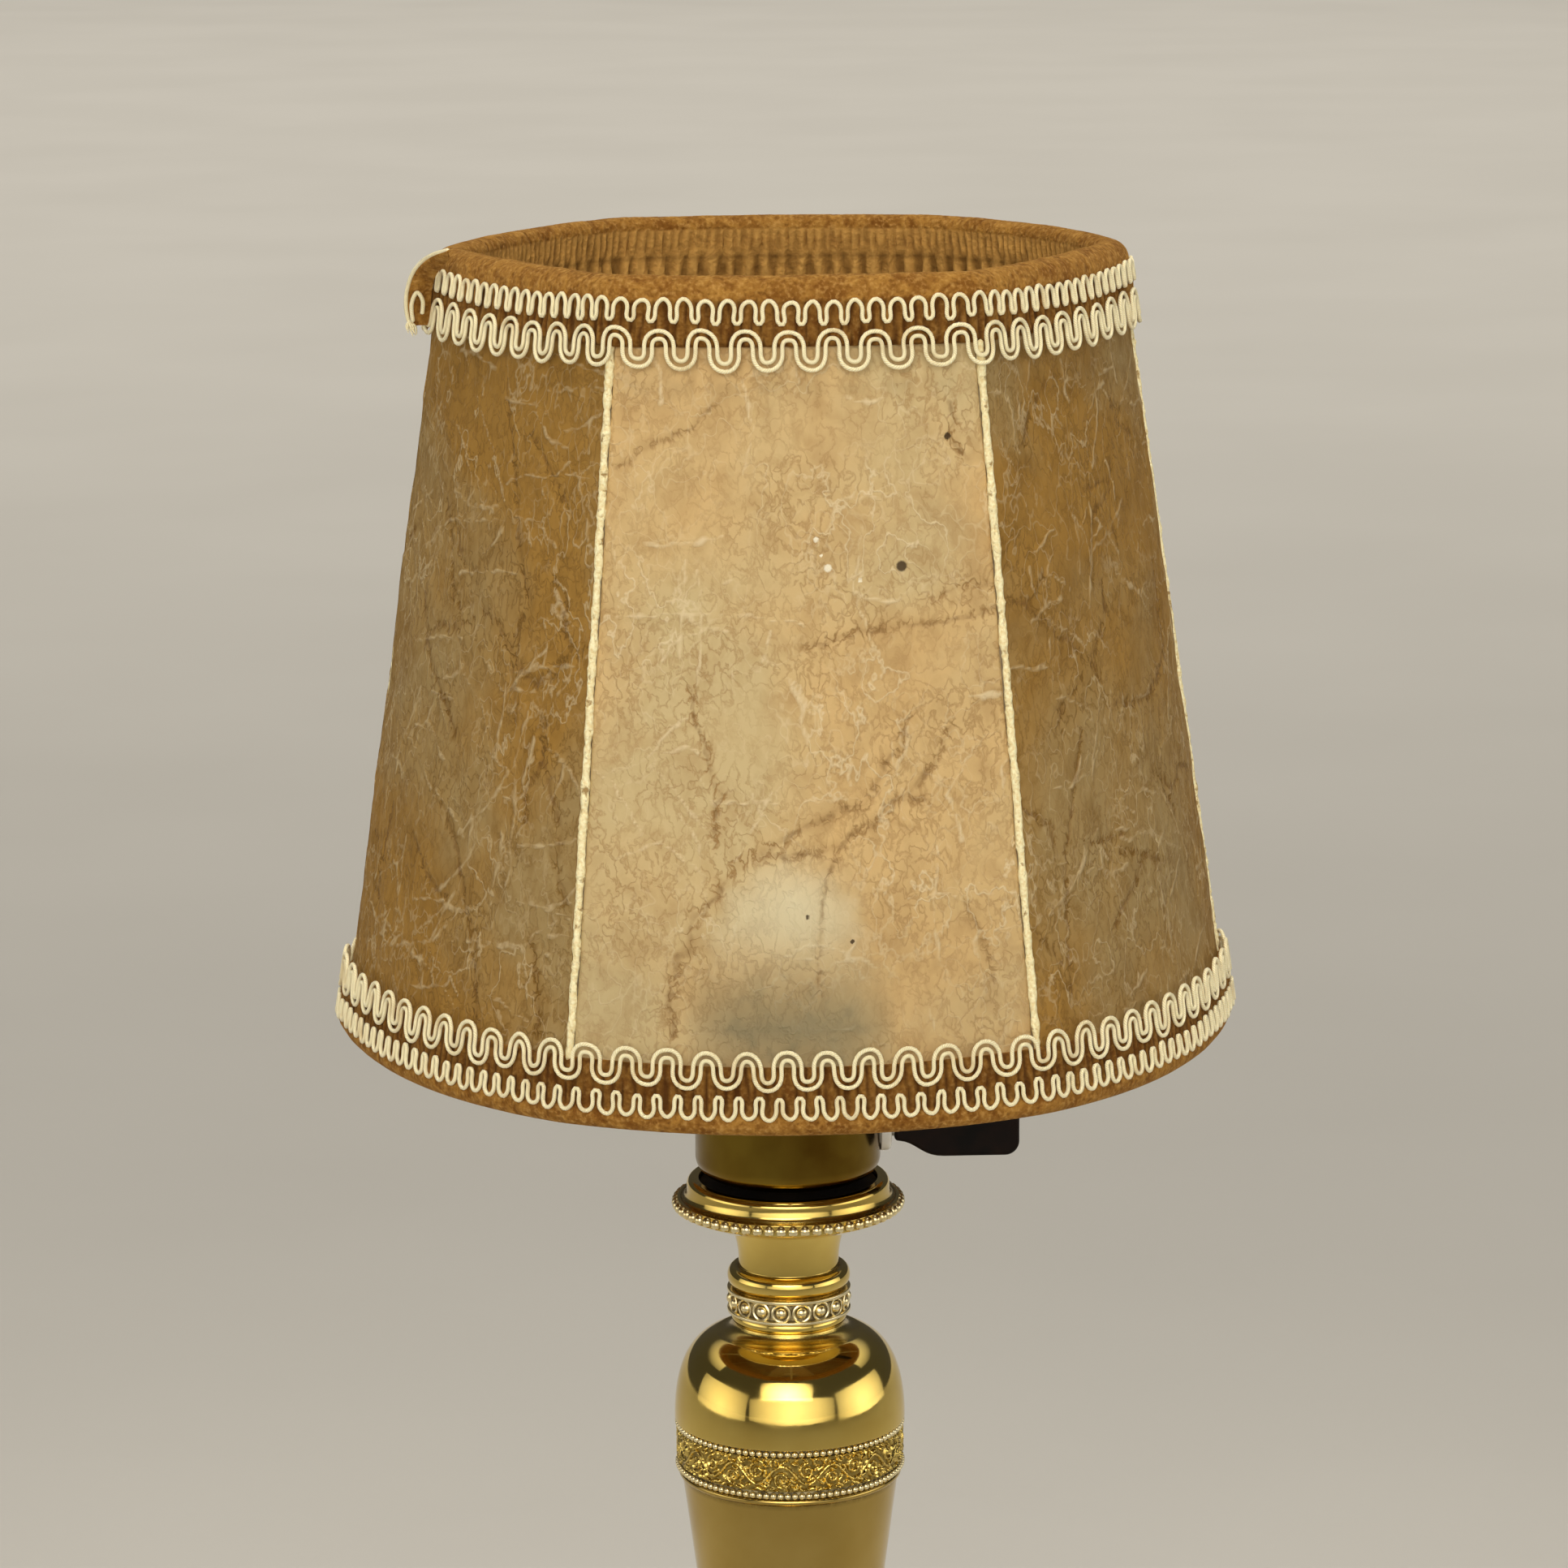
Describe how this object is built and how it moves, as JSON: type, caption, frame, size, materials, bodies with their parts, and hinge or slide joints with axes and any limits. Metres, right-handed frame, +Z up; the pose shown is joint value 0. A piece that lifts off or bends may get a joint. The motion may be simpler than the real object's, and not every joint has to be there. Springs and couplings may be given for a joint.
{
  "type": "candlestick table lamp",
  "caption": "Turned brass candlestick table lamp with a turn-key lampholder, a screw-in opal bulb and a tapered panelled parchment shade edged with gimp braid.",
  "frame": {"origin": "centre of the felt pad's underside, on the surface the lamp stands on", "axes": "+Z up along the stem, -Y towards the front panel of the shade, +X towards the switch key"},
  "size_m": [0.2026, 0.194, 0.423],
  "materials": {
    "polished_brass": "polished, lacquered, with darkened recesses",
    "zinc_steel": "zinc plated",
    "cast_iron": "rough cast",
    "felt": "pressed wool felt",
    "black_bakelite": "moulded, half gloss",
    "black_fibre": "pressed fibre board",
    "porcelain": "white glaze",
    "nickel": "nickel plated",
    "opal_glass": "white opal",
    "clear_glass": "clear",
    "painted_wire": "cream paint",
    "parchment": "crinkled and veined, waxed",
    "cream_lace": "whipped cord",
    "brown_velvet": "short pile",
    "cream_gimp": "twisted cord"
  },
  "bodies": {
    "stand": {"felt_pad": "felt", "base_weight": "cast_iron", "foot": "polished_brass", "foot_bead_ring": "polished_brass", "cord_bush": "black_bakelite", "base_washer": "zinc_steel", "base_nut": "zinc_steel", "stem_tube": "zinc_steel", "foot_knop": "polished_brass", "column": "polished_brass", "lower_bead_line": "polished_brass", "frieze_band": "polished_brass", "upper_bead_line": "polished_brass", "shoulder": "polished_brass", "neck_ring": "polished_brass", "studded_collar": "polished_brass", "nozzle": "polished_brass", "drip_pan": "polished_brass", "pan_bead_ring": "polished_brass", "insulating_disc": "black_fibre", "holder_cap": "polished_brass", "cap_grub_screw": "zinc_steel", "switch_bush": "porcelain", "switch_contacts": "polished_brass", "holder_insert": "porcelain", "thread_sleeve": "polished_brass", "terminal_screws": "polished_brass", "holder_shell": "polished_brass", "shade_nut": "polished_brass"},
    "shade": {"carrier_ring": "painted_wire", "carrier_arms": "painted_wire", "bottom_wire_ring": "painted_wire", "top_wire_ring": "painted_wire", "frame_ribs": "painted_wire", "panel_front": "parchment", "panel_front_right": "parchment", "panel_back_right": "parchment", "panel_back": "parchment", "panel_back_left": "parchment", "panel_front_left": "parchment", "seam_laces": "cream_lace", "bottom_binding": "brown_velvet", "top_binding": "brown_velvet", "bottom_braid": "cream_gimp", "top_braid": "cream_gimp"},
    "key": {"switch_spindle": "zinc_steel", "switch_drum": "black_bakelite", "switch_key": "black_bakelite"},
    "contact": {"centre_contact": "polished_brass"},
    "bulb": {"bulb_contact": "zinc_steel", "bulb_insulator": "black_bakelite", "bulb_cap": "nickel", "bulb_glass": "opal_glass", "bulb_stem": "clear_glass", "bulb_filament": "zinc_steel"}
  },
  "joints": [
    {"name": "shade_swivel", "type": "hinge", "parent": "stand", "child": "shade", "pos_m": [0, 0, 0.26], "axis": [0, 0, 1], "continuous": true},
    {"name": "key_turn", "type": "hinge", "parent": "stand", "child": "key", "pos_m": [0.0238, 0, 0.2244], "axis": [1, 0, 0], "continuous": true},
    {"name": "contact_slide", "type": "slide", "parent": "stand", "child": "contact", "axis": [0, 0, 1], "range_m": [0, 0.0037]},
    {"name": "bulb_screw", "type": "hinge", "parent": "contact", "child": "bulb", "pos_m": [0, 0, 0.2475], "axis": [0, 0, 1], "range_deg": [0, 360]}
  ],
  "couplings": [
    {"joint": "contact_slide", "follows": "bulb_screw", "m_per_rad": 0.00057757}
  ]
}
